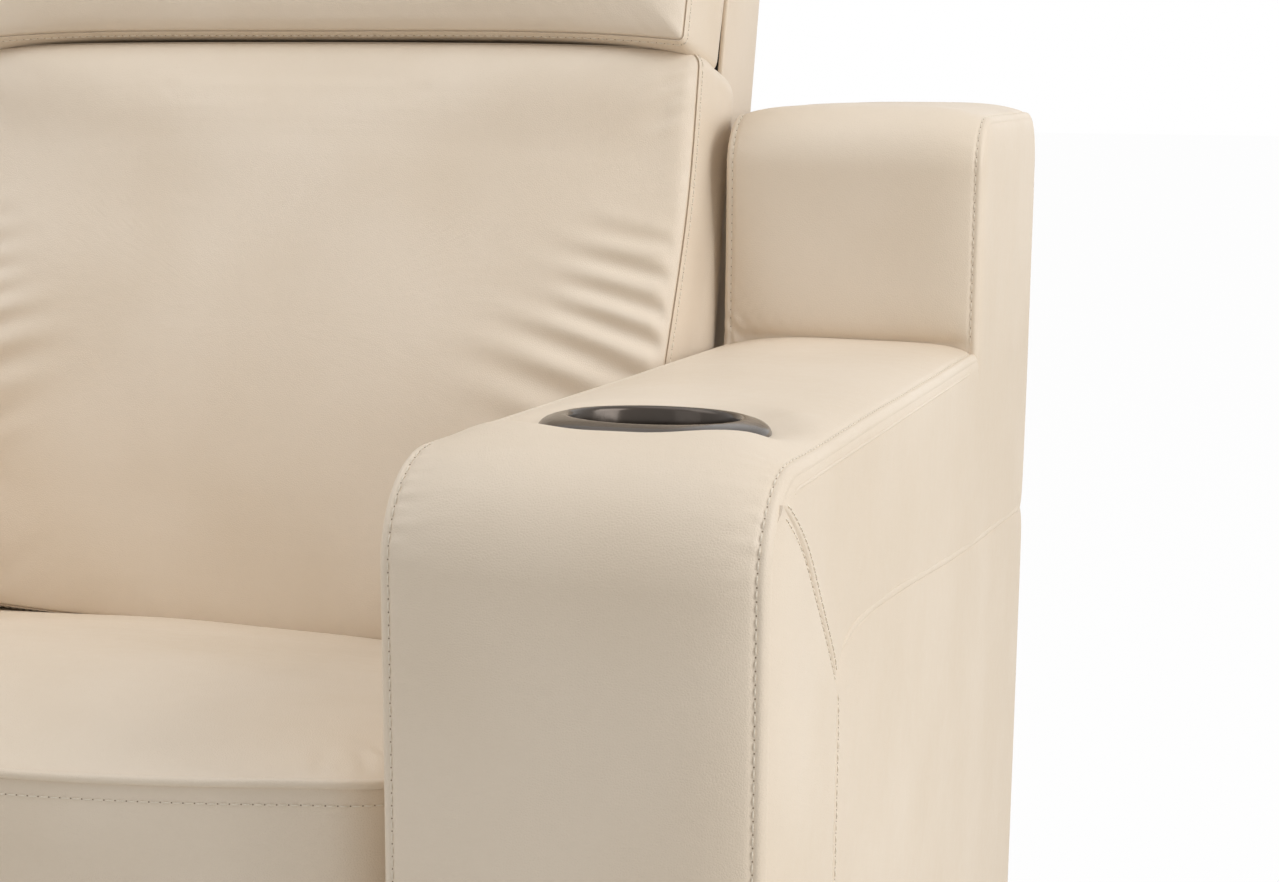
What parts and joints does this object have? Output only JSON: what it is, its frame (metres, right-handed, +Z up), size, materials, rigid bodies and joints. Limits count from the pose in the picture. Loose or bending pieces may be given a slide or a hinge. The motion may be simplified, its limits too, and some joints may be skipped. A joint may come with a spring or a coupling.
{
  "type": "cinema recliner seat",
  "caption": "Leather cinema recliner seat with padded waterfall arms, raised rear arm blocks, cup holders, folding footrest, reclining back and tilting headrest.",
  "frame": {"origin": "middle of the floor area at floor level", "axes": "+Z up, the sitter faces -Y, +X is the viewer's right when looking at the front"},
  "size_m": [0.968, 0.8898, 1.104],
  "materials": {
    "cushion_leather": "soft satin, fine grain",
    "panel_leather": "soft satin, fine grain",
    "plywood": "sanded",
    "black_steel": "satin black",
    "zinc_steel": "zinc plated",
    "black_plastic": "fine moulded texture",
    "ring_metal": "polished dark bronze",
    "webbing": "woven elastic"
  },
  "bodies": {
    "base": {"base_frame": "black_steel", "floor_feet": "black_plastic", "mechanism_side_plates": "black_steel", "mechanism_cross_tubes": "black_steel", "back_hinge_bolts": "zinc_steel", "seat_box": "plywood", "seat_springs": "black_steel", "seat_bolts": "zinc_steel", "seat_cushion": "cushion_leather", "left_arm_frame": "plywood", "right_arm_frame": "plywood", "left_arm_top_pad": "cushion_leather", "right_arm_top_pad": "cushion_leather", "left_arm_rear_block": "cushion_leather", "right_arm_rear_block": "cushion_leather", "left_arm_rear_panel": "panel_leather", "right_arm_rear_panel": "panel_leather", "left_arm_outer_panel": "panel_leather", "right_arm_outer_panel": "panel_leather", "left_arm_front_strip": "panel_leather", "right_arm_front_strip": "panel_leather", "left_arm_inner_panel": "panel_leather", "right_arm_inner_panel": "panel_leather", "left_cup_holder_ring": "ring_metal", "right_cup_holder_ring": "ring_metal", "left_cup_holder_cup": "black_plastic", "right_cup_holder_cup": "black_plastic", "arm_bolts": "zinc_steel", "switch_bezel": "black_plastic", "control_box": "black_plastic", "power_inlet": "black_plastic", "footrest_motor": "black_plastic", "recline_motor": "black_plastic"},
    "back": {"back_frame": "black_steel", "back_webbing": "webbing", "back_shell": "panel_leather", "back_cushion": "cushion_leather", "headrest_hinge_bracket": "black_steel"},
    "headrest": {"headrest_plate": "black_steel", "headrest_cushion": "cushion_leather"},
    "recline_rod": {"recline_motor_rod": "zinc_steel"},
    "footrest_rod": {"footrest_motor_rod": "zinc_steel"},
    "drive_links": {"footrest_drive_links": "black_steel"},
    "cross_links": {"footrest_cross_links": "black_steel"},
    "upper_links": {"footrest_upper_links": "black_steel"},
    "lower_links": {"footrest_lower_links": "black_steel"},
    "brackets": {"footrest_brackets": "black_steel"},
    "footrest": {"footrest_board": "plywood", "footrest_pad": "cushion_leather"},
    "back_rocker": {"back_rocker": "black_plastic"},
    "footrest_rocker": {"footrest_rocker": "black_plastic"}
  },
  "joints": [
    {"name": "back_recline", "type": "hinge", "parent": "base", "child": "back", "pos_m": [0, 0.175, 0.33], "axis": [-1, 0, 0], "range_deg": [0, 42]},
    {"name": "recline_rod_slide", "type": "slide", "parent": "base", "child": "recline_rod", "axis": [0, -1, 0], "range_m": [-0.0002, 0.0693]},
    {"name": "headrest_tilt", "type": "hinge", "parent": "back", "child": "headrest", "pos_m": [0, 0.15973, 0.81394], "axis": [1, 0, 0], "range_deg": [0, 18]},
    {"name": "footrest_open", "type": "hinge", "parent": "base", "child": "drive_links", "pos_m": [0, -0.22, 0.3], "axis": [-1, 0, 0], "range_deg": [0, 52]},
    {"name": "footrest_rod_slide", "type": "slide", "parent": "base", "child": "footrest_rod", "axis": [0, -1, 0], "range_m": [-0.0002, 0.05873]},
    {"name": "cross_link_turn", "type": "hinge", "parent": "drive_links", "child": "cross_links", "pos_m": [0, -0.23736, 0.20152], "axis": [-1, 0, 0], "range_deg": [-104.2, 0.2]},
    {"name": "upper_link_turn", "type": "hinge", "parent": "drive_links", "child": "upper_links", "pos_m": [0, -0.25473, 0.10304], "axis": [-1, 0, 0], "range_deg": [-104.2, 0.2]},
    {"name": "lower_link_turn", "type": "hinge", "parent": "cross_links", "child": "lower_links", "pos_m": [0, -0.25473, 0.3], "axis": [-1, 0, 0], "range_deg": [-0.2, 104.2]},
    {"name": "bracket_turn", "type": "hinge", "parent": "upper_links", "child": "brackets", "pos_m": [0, -0.28946, 0.3], "axis": [-1, 0, 0], "range_deg": [-0.2, 52.2]},
    {"name": "footrest_turn", "type": "hinge", "parent": "brackets", "child": "footrest", "pos_m": [0, -0.30546, 0.306], "axis": [-1, 0, 0], "range_deg": [-0.2, 86.2]},
    {"name": "back_rocker_tip", "type": "hinge", "parent": "base", "child": "back_rocker", "pos_m": [0.3045, -0.183, 0.492], "axis": [0, 1, 0], "range_deg": [-7, 7], "stiffness_Nm_per_rad": 0.25},
    {"name": "footrest_rocker_tip", "type": "hinge", "parent": "base", "child": "footrest_rocker", "pos_m": [0.3045, -0.207, 0.492], "axis": [0, 1, 0], "range_deg": [-7, 7], "stiffness_Nm_per_rad": 0.25}
  ],
  "couplings": [
    {"joint": "recline_rod_slide", "follows": "back_recline", "m_per_rad": 0.094259},
    {"joint": "footrest_rod_slide", "follows": "footrest_open", "m_per_rad": 0.064489},
    {"joint": "cross_link_turn", "follows": "footrest_open", "ratio": -2},
    {"joint": "upper_link_turn", "follows": "footrest_open", "ratio": -2},
    {"joint": "lower_link_turn", "follows": "footrest_open", "ratio": 2},
    {"joint": "bracket_turn", "follows": "footrest_open", "ratio": 1},
    {"joint": "footrest_turn", "follows": "footrest_open", "ratio": 1.6538}
  ]
}
